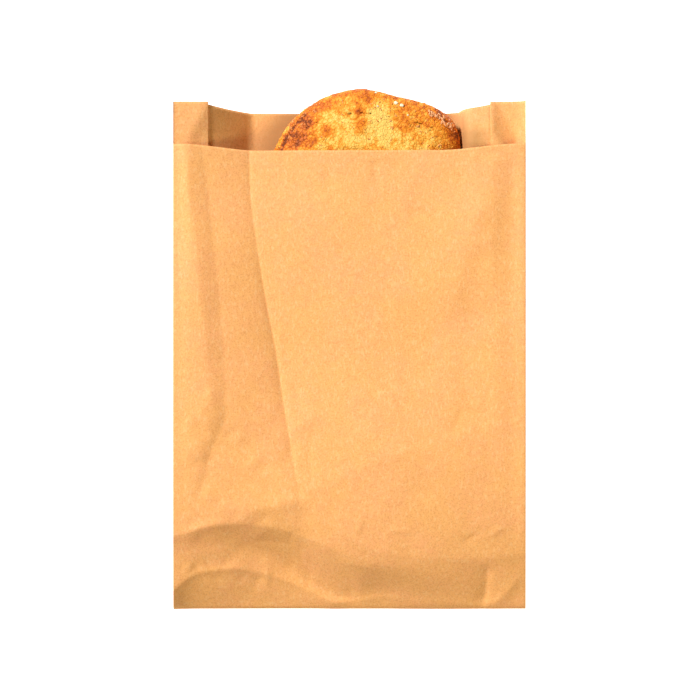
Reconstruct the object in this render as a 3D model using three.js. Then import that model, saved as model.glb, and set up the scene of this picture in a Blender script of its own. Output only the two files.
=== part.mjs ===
// A flap bag of kraft paper, lying on its back panel with a long flat loaf in it.
// Millimetres. +X runs across the bag, +Y from its folded bottom to its mouth, and +Z up out of its front
// panel.
// Every y below is measured from the bottom fold; the group moves the whole to its bottom centre.
import * as THREE from "three";
import { mergeVertices } from "three/addons/utils/BufferGeometryUtils.js";

const { clamp, lerp, smoothstep } = THREE.MathUtils;

// The bag's blank.
const HALF_WIDTH = 90;
const EDGE_DRAW_IN = 0.07; // a side edge comes in by this much for each millimetre that it is raised
const GUSSET = 17.5; // width of each half of a side gusset
const PAPER = 0.4;
const FOLD_RADIUS = 0.36;
const LAYER_GAP = 0.3;
const GUSSET_BOW = 0.1;
const STRIP_LENGTH = 257.4; // the gussets, as long as the back panel's corners
const BACK_LENGTH = 253.2; // the back panel at its middle
const BACK_DIP_FROM = 45; // out from here the back panel's edge curves up to its corners
const BACK_CORNER_RISE = 3.2;
const FRONT_LENGTH = 236; // the front panel at its sides
const FRONT_DIP = 3.2; // drawn down in the middle, where the panel climbs over the loaf
const DIP_FROM = 4; // the dip begins this far from a side edge, and is whole at DIP_WHOLE
const DIP_WHOLE = 45;
const SEAM_LAP = 12;
const BOTTOM_FLAP = 14;
const FLAP_THICKNESS = 0.8;
const FLAP_STEP = 0.1; // length of the step at the flap's end
const FLAP_CLEARED = 30; // y from which the back panel lies on the ground again

// The loaf.
const LOAF_WIDTH = 100;
const LOAF_HEIGHT = 21.5;
const LOAF_FOOT = 30; // y of its lower end
const LOAF_TIP = 264.8; // y of the end that shows
const LOAF_BELLY = 0.4; // height of its widest line, as a share of the loaf's height
const LOAF_END = 53; // length of its rounded ends
const LOAF_AXIS_TIP = 8.5; // x of the loaf's middle at the mouth
const LOAF_AXIS_FOOT = 14;
const LOAF_CLEARANCE = 0.35;
const SHOULDER_DROP = 0.2; // slope of the end that shows, towards its squarer right shoulder
const ROUND_PLAN = 2.1; // how square the loaf's outline and its section are: 2 is an ellipse, more is squarer
const SQUARE_PLAN = 4;
const DOME = 2.4;
const UNDERSIDE = 3.6;
const CRUST_LUMP = 0.7;
const BROAD_LUMP = [9, 13]; // x and y over which the lumps' waves turn by one radian
const NARROW_LUMP = [5.1, 8.3];
const NARROW_SHARE = 0.4;

// How the filled bag lies. Its two sides are stacks of four layers, raised nearly as high as the loaf. The
// back panel lies flat from FLAT_LEFT to beside the loaf's right edge, and climbs to the stacks.
const FLAT_LEFT = 50.5;
const FLAT_INSET = 1.5;
const CLIMB_EASE = 0.35; // how much the climb slackens before it reaches the side stack
const CLIMB_OUT = [0.6, -0.8]; // the way that the climbing part's outer face looks, on the right
const SIDE_RISE = 17.2; // at the mouth
const SIDE_RISE_LOW = 15.5; // above the foot
const SIDE_RISE_OVER = 34; // y over which the sides come up from the bottom fold
const SIDE_TILT = 3; // how far a side stack leans down to its inner edge, away from the mouth
const TILT_UNTIL = 226;
const STACK_GAPE = 1; // the stack's extra thickness at the mouth
const CAVITY_END = BOTTOM_FLAP + 1.5;
const BULGE_FULL = [50, 34]; // y where the front panel is fully over the loaf, on the left and on the right
const BULGE_TURN = [-30, 80];
const PLATEAU = 10; // half-width of the panel's level stretch over the loaf
const ROUNDING = 0.8; // how round the panel is from its side edges to that stretch
const EDGE_FADE = 9; // creases fade towards the side edges and the foot
const FOOT_FADE = [6, 22];

// Fold lines of the front panel. Each is walked from the mouth down or from left to right: how high it stands
// over the paper round it, and how far that reaches on the right and on the left of the walk.
const SIDE_RIDGE = [[-84, 236], [-77, 183], [-71, 132], [-68, 100], [-72, 72], [-84, 44]];
const LONG_VALLEY = [[-50.5, 230], [-49, 200], [-42, 152], [-34, 107], [-27, 67], [-20, 52]];
const LOW_ARCH = [[-86, 40], [-60, 45], [-28, 39], [0, 31], [24, 26]];
const RIGHT_RIDGE = [[70, 150], [70, 110], [69, 62], [66, 40]];
const FOLDS = [
  { at: SIDE_RIDGE, height: 2.2, reach: [10, 4] },
  { at: LONG_VALLEY, height: -2.8, reach: [9, 5] },
  { at: LOW_ARCH, height: 2.2, reach: [9, 5] },
  { at: RIGHT_RIDGE, height: 0.9, reach: [9, 6] },
];
const FOLD_END = 0.2; // share of a fold's length over which each of its ends dies out

// How finely the paper is faceted.
const FRONT_COLUMNS = 27;
const GUSSET_COLUMNS = 3;
const CLIMB_COLUMNS = 3;
const STACK_COLUMNS = 2;
const ARC_STEPS = 2;
const LOW_ROWS = 9;
const LONG_ROWS = 15;
const LIP_ROWS = 2;
const MOUTH_ROWS = 3;
const LOW_TOP = 62;
const MOUTH_FROM = 224;

const LOAF_FACETS = [16, 30, 7];
const LOAF_CROWDING = 1.35; // its rows draw together towards the end that shows

const closedStack = 4 * FOLD_RADIUS + PAPER + LAYER_GAP;
const loafFloor = PAPER * 2 + LOAF_CLEARANCE;
const panelTop = loafFloor + LOAF_HEIGHT + LOAF_CLEARANCE + PAPER;

const backMiddle = (y) => PAPER / 2 + FLAP_THICKNESS * (1 - smoothstep(y, BOTTOM_FLAP, FLAP_CLEARED));
const sideRise = (y) => {
  const along = clamp(y / FRONT_LENGTH, 0, 1);
  return lerp(SIDE_RISE_LOW, SIDE_RISE, along) * smoothstep(y, 0, SIDE_RISE_OVER);
};
const backEdge = (y) => backMiddle(y) + sideRise(y);
const stackHeight = (y) => closedStack + STACK_GAPE * smoothstep(y, LOW_TOP, FRONT_LENGTH);
const frontEdge = (y) => backEdge(y) + stackHeight(y);
const edgeX = (y) => HALF_WIDTH - EDGE_DRAW_IN * frontEdge(y);
const gussetX = (y) => edgeX(y) - GUSSET;
const sideTilt = (y) => (SIDE_TILT * (1 - smoothstep(y, TILT_UNTIL, STRIP_LENGTH)) * sideRise(y)) / SIDE_RISE;
const loafAxis = (y) => {
  const along = clamp((y - LOAF_FOOT) / (LOAF_TIP - LOAF_FOOT), 0, 1);
  return lerp(LOAF_AXIS_FOOT, LOAF_AXIS_TIP, along);
};
const flatRight = (y) => loafAxis(y) + LOAF_WIDTH / 2 - FLAT_INSET;

// The back panel is flat in the middle, climbs on both sides, and ends as the lowest layer of each stack.
function backHeight(x, y) {
  const line = x < 0 ? FLAT_LEFT : flatRight(y);
  const climb = clamp((Math.abs(x) - line) / (gussetX(y) - line), 0, 1);
  const eased = climb * (1 + CLIMB_EASE * (1 - climb ** 2));
  const inStack = clamp((edgeX(y) - Math.abs(x)) / GUSSET, 0, 1);
  return backMiddle(y) + (sideRise(y) - sideTilt(y) * inStack) * eased;
}

// Distance to a polyline, positive on its left as it is walked, and how far along it the nearest point lies.
function besideLine(points, x, y) {
  let nearest = { distance: Infinity, along: 0 };
  const lengths = points.slice(1).map((p, i) => Math.hypot(p[0] - points[i][0], p[1] - points[i][1]));
  const whole = lengths.reduce((sum, length) => sum + length, 0);
  let walked = 0;
  lengths.forEach((length, i) => {
    const [ax, ay] = points[i];
    const dx = (points[i + 1][0] - ax) / length;
    const dy = (points[i + 1][1] - ay) / length;
    const step = clamp((x - ax) * dx + (y - ay) * dy, 0, length);
    const rx = x - ax - dx * step;
    const ry = y - ay - dy * step;
    const distance = Math.hypot(rx, ry) * Math.sign(dx * ry - dy * rx || 1);
    if (Math.abs(distance) < Math.abs(nearest.distance))
      nearest = { distance, along: (walked + step) / whole };
    walked += length;
  });
  return nearest;
}

// A crease falls away on both sides of its line, and dies out at the line's ends.
function foldHeight(fold, x, y) {
  const { distance, along } = besideLine(fold.at, x, y);
  const reach = fold.reach[distance < 0 ? 0 : 1];
  const ends = smoothstep(along, 0, FOLD_END) * (1 - smoothstep(along, 1 - FOLD_END, 1));
  return fold.height * Math.exp(-Math.abs(distance) / reach) * ends;
}

// The front panel climbs from its side edges to a level stretch over the loaf, and drops to the bottom fold.
function frontHeight(x, y) {
  const edge = frontEdge(y);
  const onLeft = x < loafAxis(y);
  const fromEdge = onLeft ? edgeX(y) + x : edgeX(y) - x;
  const span = (onLeft ? edgeX(y) + loafAxis(y) : edgeX(y) - loafAxis(y)) - PLATEAU;
  const climb = clamp(fromEdge / span, 0, 1);
  const across = lerp(climb, Math.sin((climb * Math.PI) / 2), ROUNDING);
  const lengthwise = smoothstep(y, 0, lerp(...BULGE_FULL, smoothstep(x, ...BULGE_TURN)));
  const fade = smoothstep(edgeX(y) - Math.abs(x), 0, EDGE_FADE) * smoothstep(y, ...FOOT_FADE);
  const creases = FOLDS.reduce((sum, fold) => sum + foldHeight(fold, x, y), 0) * fade;
  return edge + (panelTop - edge) * across * lengthwise + creases;
}

const frontCut = (x) => FRONT_LENGTH - FRONT_DIP * smoothstep(HALF_WIDTH - Math.abs(x), DIP_FROM, DIP_WHOLE);
const backCut = (x) => {
  const out = Math.max(0, (Math.abs(x) - BACK_DIP_FROM) / (HALF_WIDTH - GUSSET - BACK_DIP_FROM));
  return Math.min(STRIP_LENGTH, BACK_LENGTH + BACK_CORNER_RISE * out ** 2);
};

// A column of the paper runs from the bottom fold to its own cut edge. at(y) is its place in the section
// there, and out is the way that its outer face looks.
function arc(centre, from, to, kind) {
  return Array.from({ length: ARC_STEPS - 1 }, (_, i) => {
    const angle = lerp(from, to, (i + 1) / ARC_STEPS);
    const way = [Math.cos(angle), Math.sin(angle)];
    const at = (y) => {
      const [x, z] = centre(y);
      return [x + FOLD_RADIUS * way[0], z + FOLD_RADIUS * way[1]];
    };
    return { at, cut: STRIP_LENGTH, out: kind.hollow ? [-way[0], -way[1]] : way, short: kind.short };
  });
}

function frontPanel() {
  return Array.from({ length: FRONT_COLUMNS + 1 }, (_, i) => {
    const share = lerp(-1, 1, i / FRONT_COLUMNS);
    const at = (y) => {
      const x = share * (edgeX(y) - FOLD_RADIUS);
      return [x, frontHeight(x, y)];
    };
    return { at, cut: frontCut(share * HALF_WIDTH), out: [0, 1], short: true };
  });
}

// Height of a gusset's fold, in the middle of its stack.
const gussetHeight = (y) => backHeight(gussetX(y), y) + (stackHeight(y) + LAYER_GAP) / 2;

// One half of a gusset, between its outer edge and its fold.
function gussetHalf(edgeHeight, foldHeightAt, looks) {
  const half = Array.from({ length: GUSSET_COLUMNS + 1 }, (_, i) => {
    const inward = i / GUSSET_COLUMNS;
    const at = (y) => [
      lerp(edgeX(y), gussetX(y) + 2 * FOLD_RADIUS, inward) - FOLD_RADIUS,
      lerp(edgeHeight(y), foldHeightAt(y), inward) + looks * GUSSET_BOW * Math.sin(inward * Math.PI),
    ];
    return { at, cut: STRIP_LENGTH, out: [0, looks] };
  });
  return looks < 0 ? half : half.reverse();
}

// The right gusset, from the front panel's edge in to its fold and out to the back panel's edge.
function rightGusset() {
  const up = Math.PI / 2;
  const inset = (y) => edgeX(y) - FOLD_RADIUS;
  return [
    ...arc((y) => [inset(y), frontEdge(y) - FOLD_RADIUS], up, -up, { short: true }),
    ...gussetHalf((y) => frontEdge(y) - 2 * FOLD_RADIUS, (y) => gussetHeight(y) + FOLD_RADIUS, -1),
    ...arc((y) => [gussetX(y) + FOLD_RADIUS, gussetHeight(y)], up, 3 * up, { hollow: true }),
    ...gussetHalf((y) => backEdge(y) + 2 * FOLD_RADIUS, (y) => gussetHeight(y) - FOLD_RADIUS, 1),
    ...arc((y) => [inset(y), backEdge(y) + FOLD_RADIUS], up, -up, {}),
  ];
}

function mirrored(columns) {
  const turned = columns.map((column) => {
    const at = (y) => {
      const [x, z] = column.at(y);
      return [-x, z];
    };
    return { ...column, at, out: [-column.out[0], column.out[1]] };
  });
  return turned.reverse();
}

// The back panel, from its right edge to its left one, with the glued lap of the tube's seam inside it.
function backPanel() {
  const between = (from, to, count) =>
    Array.from({ length: count }, (_, i) => (y) => lerp(from(y), to(y), i / count));
  const outer = (y) => edgeX(y) - FOLD_RADIUS;
  const stack = between(outer, gussetX, STACK_COLUMNS);
  const wing = (flat) => [...stack, ...between(gussetX, flat, CLIMB_COLUMNS)];
  const left = wing(() => FLAT_LEFT).map((place) => (y) => -place(y));
  const lap = SEAM_LAP / 2;
  const middle = [lap + PAPER, lap, -lap, -lap - PAPER, -FLAT_LEFT].map((x) => () => x);
  const places = [...wing(flatRight), flatRight, ...middle, ...left.reverse()];
  return places.map((place, index) => {
    const at = (y) => [place(y), backHeight(place(y), y)];
    const lapped = Math.abs(place(0)) <= lap ? PAPER : 0;
    const fromEnd = Math.min(index, places.length - index);
    const climbs = fromEnd >= STACK_COLUMNS && fromEnd < STACK_COLUMNS + CLIMB_COLUMNS;
    const out = climbs ? [CLIMB_OUT[0] * Math.sign(place(0)), CLIMB_OUT[1]] : [0, -1];
    return { at, cut: backCut(place(STRIP_LENGTH)), out, lapped, under: true };
  });
}

// Rows from the bottom fold up, with the flap's step as two rows, close together.
function rows() {
  const foot = [0, BOTTOM_FLAP / 2, BOTTOM_FLAP, BOTTOM_FLAP + FLAP_STEP];
  for (let i = 0; i <= LOW_ROWS; i += 1) foot.push(lerp(CAVITY_END, LOW_TOP, i / LOW_ROWS));
  for (let i = 1; i <= LONG_ROWS; i += 1) foot.push(lerp(LOW_TOP, MOUTH_FROM, i / LONG_ROWS));
  return foot;
}

// Outer and inner face of the paper, walked round the bag's section. They meet along the cut edges, where the
// front panel's columns stop short of the others, and each is closed at the bottom.
function paperBagGeometry() {
  const columns = [...frontPanel(), ...rightGusset(), ...backPanel(), ...mirrored(rightGusset())];
  const shared = rows();
  const lipRow = shared.length + LIP_ROWS - 1;
  const topRow = (column) => (column.short ? lipRow : lipRow + MOUTH_ROWS);
  const height = (column, row) => {
    if (row < shared.length) return shared[row];
    if (row > lipRow) return lerp(FRONT_LENGTH, column.cut, (row - lipRow) / MOUTH_ROWS);
    const lip = column.short ? Math.min(column.cut, FRONT_LENGTH) : FRONT_LENGTH;
    return lerp(MOUTH_FROM, lip, (row - lipRow) / LIP_ROWS + 1);
  };
  const face = (offset) =>
    columns.map((column) =>
      Array.from({ length: topRow(column) + 1 }, (_, row) => {
        const y = height(column, row);
        const [x, z] = column.at(y);
        if (column.under && offset > 0 && y <= BOTTOM_FLAP) return [x, y, 0];
        const lapped = offset < 0 && column.lapped ? column.lapped : 0;
        return [x + column.out[0] * offset, y, z + column.out[1] * offset + lapped];
      }),
    );
  const outer = face(PAPER / 2);
  const inner = face(-PAPER / 2);
  const cavity = shared.indexOf(CAVITY_END);
  const positions = [];
  const triangle = (a, b, c) => positions.push(...a, ...b, ...c);
  const quad = (a, b, c, d) => {
    triangle(a, b, c);
    triangle(a, c, d);
  };
  columns.forEach((column, here) => {
    const next = (here + 1) % columns.length;
    const nextTop = topRow(columns[next]);
    const top = Math.min(topRow(column), nextTop);
    for (let row = 0; row < top; row += 1) {
      quad(outer[here][row], outer[next][row], outer[next][row + 1], outer[here][row + 1]);
      if (row < cavity) continue;
      quad(inner[here][row], inner[here][row + 1], inner[next][row + 1], inner[next][row]);
    }
    quad(outer[here][top], outer[next][top], inner[next][top], inner[here][top]);
    for (let row = top; row < nextTop; row += 1)
      quad(outer[next][row], outer[next][row + 1], inner[next][row + 1], inner[next][row]);
    for (let row = top; row < topRow(column); row += 1)
      quad(outer[here][row + 1], outer[here][row], inner[here][row], inner[here][row + 1]);
  });
  const end = (ring, faceUp) => {
    const flat = ring.map(([x, , z]) => new THREE.Vector2(x, z));
    THREE.ShapeUtils.triangulateShape(flat, []).forEach(([a, b, c]) => {
      const anticlockwise = THREE.ShapeUtils.area([flat[a], flat[b], flat[c]]) > 0;
      if (anticlockwise !== faceUp) triangle(ring[a], ring[b], ring[c]);
      else triangle(ring[a], ring[c], ring[b]);
    });
  };
  end(outer.map((column) => column[0]), false);
  end(inner.map((column) => column[cavity]), true);
  const geometry = new THREE.BufferGeometry();
  geometry.setAttribute("position", new THREE.Float32BufferAttribute(positions, 3));
  return mergeVertices(geometry, 1e-4);
}

// Low lumps of a hand-shaped crust, never over the loaf's smooth dome.
function crustLump(x, y) {
  const wave = ([across, along]) => Math.sin(x / across + y / along) * Math.sin(y / across - x / along);
  return CRUST_LUMP * (lerp(wave(BROAD_LUMP), wave(NARROW_LUMP), NARROW_SHARE) - 1);
}

// A box swept out to a rounded loaf: round ends, a low belly line, a domed top and a flat base.
function loafGeometry() {
  const half = [LOAF_WIDTH / 2, (LOAF_TIP - LOAF_FOOT) / 2, LOAF_HEIGHT / 2];
  const geometry = new THREE.BoxGeometry(...half.map((side) => side * 2), ...LOAF_FACETS);
  const core = half[1] - LOAF_END;
  const belly = LOAF_HEIGHT * LOAF_BELLY;
  const places = geometry.getAttribute("position");
  for (let i = 0; i < places.count; i += 1) {
    const fromTip = clamp((1 - places.getY(i) / half[1]) / 2, 0, 1);
    const along = half[1] * (1 - 2 * fromTip ** LOAF_CROWDING);
    const spine = clamp(along, -core, core);
    const dx = places.getX(i) / half[0];
    const dy = (along - spine) / LOAF_END;
    const dz = places.getZ(i) / half[2];
    const square = dx > 0 && dy > 0 ? SQUARE_PLAN : ROUND_PLAN; // squarer at the end's right shoulder
    const plan = (Math.abs(dx) ** square + Math.abs(dy) ** square) ** (1 / square);
    const round = dz > 0 ? DOME : UNDERSIDE;
    const size = (plan ** round + Math.abs(dz) ** round) ** (1 / round);
    const x = (dx / size) * half[0];
    const end = Math.max(0, dy / size);
    const level = (LOAF_TIP + LOAF_FOOT) / 2 + spine + (dy / size) * LOAF_END;
    const y = level - SHOULDER_DROP * Math.max(0, x) * end;
    const above = Math.max(0, dz / size);
    const z = belly + (dz / size) * (dz > 0 ? LOAF_HEIGHT - belly : belly) + above * crustLump(x, y);
    places.setXYZ(i, x + loafAxis(y), y, loafFloor + z);
  }
  geometry.deleteAttribute("normal");
  geometry.deleteAttribute("uv");
  return mergeVertices(geometry, 1e-4);
}

function finished(name, geometry, color, roughness) {
  geometry.computeVertexNormals();
  const material = new THREE.MeshStandardMaterial({ color, roughness, metalness: 0 });
  const mesh = new THREE.Mesh(geometry, material);
  mesh.name = name;
  return mesh;
}

const filledBag = new THREE.Group();
filledBag.add(finished("paper_bag", paperBagGeometry(), 0xf2bd80, 0.85));
filledBag.add(finished("bread", loafGeometry(), 0xd98a3c, 0.7));
filledBag.position.y = -LOAF_TIP / 2;

export default filledBag;
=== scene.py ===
import math
import random

import bmesh
import bpy
import numpy as np
from mathutils import Matrix, Vector, noise
from mathutils.bvhtree import BVHTree


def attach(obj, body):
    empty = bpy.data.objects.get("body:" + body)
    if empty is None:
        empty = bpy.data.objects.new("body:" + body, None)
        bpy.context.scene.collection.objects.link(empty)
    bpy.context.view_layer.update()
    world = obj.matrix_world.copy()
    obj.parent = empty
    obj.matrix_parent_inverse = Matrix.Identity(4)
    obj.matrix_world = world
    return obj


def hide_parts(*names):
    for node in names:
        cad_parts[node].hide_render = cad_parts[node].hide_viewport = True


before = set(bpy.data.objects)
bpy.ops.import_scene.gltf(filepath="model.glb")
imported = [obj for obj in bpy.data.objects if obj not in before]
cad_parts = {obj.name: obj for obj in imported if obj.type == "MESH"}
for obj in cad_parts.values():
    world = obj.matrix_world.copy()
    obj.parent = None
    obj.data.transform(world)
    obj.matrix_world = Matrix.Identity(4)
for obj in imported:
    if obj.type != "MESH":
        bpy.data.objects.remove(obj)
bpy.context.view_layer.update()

# Sizes are in millimetres here, and y is measured from the bag's bottom fold. MM and the shift to the frame's
# middle come in when a mesh is finished.
MM = 0.001
LOAF_TIP = 264.8
MIDDLE = LOAF_TIP / 2

# The bag's blank.
HALF_WIDTH = 90.0
EDGE_DRAW_IN = 0.07
GUSSET = 17.5
PAPER = 0.16
FOLD_RADIUS = 0.22
FRONT_LENGTH = 236.0
FRONT_DIP = 3.2
LIP_BOW_FROM = 190.0
STRIP_LENGTH = 257.4
BACK_LENGTH = 253.2
BACK_DIP_FROM = 45.0
BACK_CORNER_RISE = 3.2
BOTTOM_FLAP = 14.0
FLAP_THICKNESS = 0.8
FLAP_CLEARED = 30.0
SEAM_LAP = 12.0

# How the filled bag lies. Its sides are stacks of folded paper, and its back panel climbs to them. Pairs are for the
# left and the right side, and a height goes from its low to its top value over its reach.
FLAT_LEFT = 50.5
FLAT_INSET = 3.0
CLIMB_EASE = 0.15
RIGHT_CLIMB = 10.0
FOOT_STACK = 1.3
STACK_GAPE = 0.2
STACK_GAPE_FROM = 62.0
SIDE_TOP = (24.6, 25.4)
SIDE_LOW = (15.5, 12.0)
SIDE_REACH = (40.0, 36.0)
SIDE_DROP = (4.6, 2.2)
SIDE_DROP_FROM = 140.0
PANEL_TOP = 24.2
PANEL_LOW = 19.0
PANEL_REACH = 35.0
SLOW_START = 25.0
LIP_DROP = 1.4
LIP_DROP_OVER = (180.0, 240.0)
PLATEAU = 10.0
ROUNDING = 0.8
CREASES_FROM_SIDE = 9.0
CREASES_FROM_BOTTOM = 6.0

# The loaf.
LOAF_WIDTH = 100.0
LOAF_HEIGHT = 21.5
LOAF_FOOT = 62.0
AXIS_FROM = 30.0
LOAF_BELLY = 0.4
LOAF_END = 53.0
LOAF_AXIS_TIP = 8.5
LOAF_AXIS_FOOT = 14.0
LOAF_FLOOR = 1.15
SHOULDER_DROP = 0.24
RIGHT_HALF = 47.5
CRUST_CLEARED = 0.3  # between the crust and the middle of the paper on it
PAST_LIP = 6.0
RISE_PAST_LIP = 0.6


# ------------------------------------------------------------------------------------- paper: shape


def mix(a, b, share):
    return a + (b - a) * share


def smooth(value, low, high):
    share = np.clip((value - low) / (high - low), 0, 1)
    return share * share * (3 - 2 * share)


def rounded_line(points, steps=4):
    """Catmull-Rom through the points, so that a fold bends smoothly along its length."""
    p = np.array(points, float)
    if len(p) < 3:
        return p
    p = np.vstack([2 * p[0] - p[1], p, 2 * p[-1] - p[-2]])
    walked = []
    for a, b, c, d in zip(p, p[1:], p[2:], p[3:]):
        for t in np.arange(steps) / steps:
            bend = (2 * a - 5 * b + 4 * c - d) * t**2 + (3 * b - a - 3 * c + d) * t**3
            walked.append(b + 0.5 * ((c - a) * t + bend))
    walked.append(p[-2])
    return np.array(walked)


def beside_line(points, x, y):
    """Distance to a polyline, positive on the left of its walk, and the share of the walk at the nearest point."""
    steps = np.diff(points, axis=0)
    lengths = np.hypot(steps[:, 0], steps[:, 1])
    nearest = np.full(np.shape(x), 1e9)
    signed = np.zeros(np.shape(x))
    along = np.zeros(np.shape(x))
    walked = 0.0
    for (ax, ay), (dx, dy), length in zip(points[:-1], steps / lengths[:, None], lengths):
        reach = np.clip((x - ax) * dx + (y - ay) * dy, 0, length)
        rx = x - ax - dx * reach
        ry = y - ay - dy * reach
        distance = np.hypot(rx, ry)
        near = distance < nearest
        nearest = np.where(near, distance, nearest)
        signed = np.where(near, distance * np.where(dx * ry - dy * rx < 0, -1, 1), signed)
        along = np.where(near, (walked + reach) / lengths.sum(), along)
        walked += length
    return signed, along


class Fold:
    """A crease of the front panel, walked from the mouth down or from left to right.

    It stands height over the paper round it, rounded with its radius, and less with the reach on each side, first on
    the right of the walk and then on its left. It starts and ends over the shares of its length in fade.
    """

    def __init__(self, points, height, reach, radius, fade):
        self.line = rounded_line(points)
        self.height = height
        self.reach = reach
        self.radius = radius
        self.fade = fade

    def rise(self, x, y):
        distance, along = beside_line(self.line, x, y)
        away = np.hypot(distance, self.radius) - self.radius
        crest = self.height * np.exp(-away / np.where(distance < 0, *self.reach))
        first, last = self.fade
        start = smooth(along, 0, first) if first else 1
        end = 1 - smooth(along, 1 - last, 1) if last else 1
        return crest * (start * end)


# Lines across the foot, as points from left to right: the low arcs that the paper climbs to from the bottom fold,
# where its steep part starts and ends, and the ridge above it.
LOW_ARC = rounded_line([
    (-92, 8), (-80, 18), (-64, 21.3), (-51, 20.8), (-36, 16.5), (-21, 10),
    (-9, 4), (4, 5), (17, 7), (30, 5.5), (46, 4), (92, 4),
])
LEFT_ARC = LOW_ARC[:29]
MIDDLE_ARC = LOW_ARC[28:37]
STEEP_FROM = rounded_line([
    (-92, 27), (-74, 32), (-58, 33), (-42, 27), (-28, 19), (-12, 9), (6, 5), (30, 5), (46, 4), (92, 4),
])
STEEP_TO = rounded_line([
    (-92, 36), (-80, 41.5), (-66, 44.5), (-52, 45), (-40, 43), (-28, 40),
    (-14, 35), (3, 28), (22, 24), (46, 22.5), (92, 24),
])
RIDGE = rounded_line([
    (-92, 38.5), (-76, 42), (-51, 50), (-25, 57), (-14, 47), (-3, 39), (10, 33), (24, 29), (46, 27), (92, 29),
])

# Shares of the height that the paper gains below the low arcs, from them to the steep part, and in the steep part,
# for the x in SHARES_AT. RIDGE_SHARE is gained on each millimetre from there to the ridge, and the rest everywhere,
# nearly all of it within a few times REST_REACH.
SHARES_AT = (-86, -64, -45, -30, -15, 0, 25, 60, 80)
SHARES = (
    (0.64, 0.58, 0.42, 0.28, 0.16, 0.11, 0.13, 0.10, 0.08),
    (0.13, 0.11, 0.08, 0.04, 0.02, 0.00, 0.00, 0.00, 0.00),
    (0.14, 0.25, 0.40, 0.61, 0.78, 0.78, 0.46, 0.18, 0.12),
)
RIDGE_SHARE = 0.009
REST_REACH = 25.0
ARC_BULGE = 0.35
STEEP_TURN = (-45, 5)
STEEP_HOLLOW = 1.3


def line_height(line, x):
    return np.interp(x, line[:, 0], line[:, 1])


def foot_rise(x, y):
    """Share of its height that the front panel has reached at y: 0 at the bottom fold and 1 above the ridge."""
    low, start, end, ridge = (line_height(line, x) for line in (LOW_ARC, STEEP_FROM, STEEP_TO, RIDGE))
    start = np.maximum(start, low + 0.01)
    to_arc, to_steep, steep = (np.interp(x, SHARES_AT, shares) for shares in SHARES)
    to_ridge = RIDGE_SHARE * (ridge - end)
    rest = 1 - to_arc - to_steep - steep - to_ridge

    arc = np.clip(y / low, 0, 1)
    between = np.clip((y - low) / (start - low), 0, 1)
    climb = np.clip((y - start) / (end - start), 0, 1)
    hollow = climb**STEEP_HOLLOW
    eased = mix(climb, climb * climb * (3 - 2 * climb), 0.5)
    climb = mix(hollow, eased, smooth(x, *STEEP_TURN))
    last = np.clip((y - end) / (ridge - end), 0, 1)
    gained = to_arc * arc * (1 + ARC_BULGE - ARC_BULGE * arc) + to_steep * between + steep * climb + to_ridge * last
    return gained + rest * (1 - np.exp(-y / REST_REACH))


def back_middle(y):
    return PAPER / 2 + FLAP_THICKNESS * (1 - smooth(y, BOTTOM_FLAP, FLAP_CLEARED))


def slow_rise(y, low, top, reach):
    """A height that starts level at low and nears top more and more slowly."""
    return top - (top - low) * np.exp(-(y * y / (y + SLOW_START)) / reach)


def side_top(side, y):
    """Height of the front panel's side edges, away from the foot."""
    left = slow_rise(y, SIDE_LOW[0], SIDE_TOP[0], SIDE_REACH[0])
    right = slow_rise(y, SIDE_LOW[1], SIDE_TOP[1], SIDE_REACH[1])
    drop = smooth(y, SIDE_DROP_FROM, FRONT_LENGTH)
    return np.where(np.asarray(side) < 0, left - SIDE_DROP[0] * drop, right - SIDE_DROP[1] * drop)


def front_edge(side, y):
    low = back_middle(y) + FOOT_STACK
    return low + (side_top(side, y) - low) * foot_rise(side * HALF_WIDTH, y)


def edge_x(side, y):
    return HALF_WIDTH - EDGE_DRAW_IN * front_edge(side, y)


def loaf_axis(y):
    return mix(LOAF_AXIS_FOOT, LOAF_AXIS_TIP, np.clip((y - AXIS_FROM) / (LOAF_TIP - AXIS_FROM), 0, 1))


# The long folds of the left half, from the mouth down.
SIDE_RIDGE = [(-84.5, 240), (-81, 213), (-77, 183), (-72, 132), (-70, 107), (-74, 77), (-84, 44)]
SIDE_VALLEY = [
    (-75, 240), (-71.5, 215), (-67, 175), (-63.5, 137), (-62, 112),
    (-62.5, 97), (-69, 83), (-72, 71), (-76, 57), (-83.5, 42),
]
LONG_VALLEY = [
    (-50.6, 240), (-50.1, 218), (-48.6, 200), (-44.6, 173), (-41, 152),
    (-37, 132), (-33.4, 107), (-30, 87), (-26.4, 67), (-22.5, 57),
]

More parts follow.
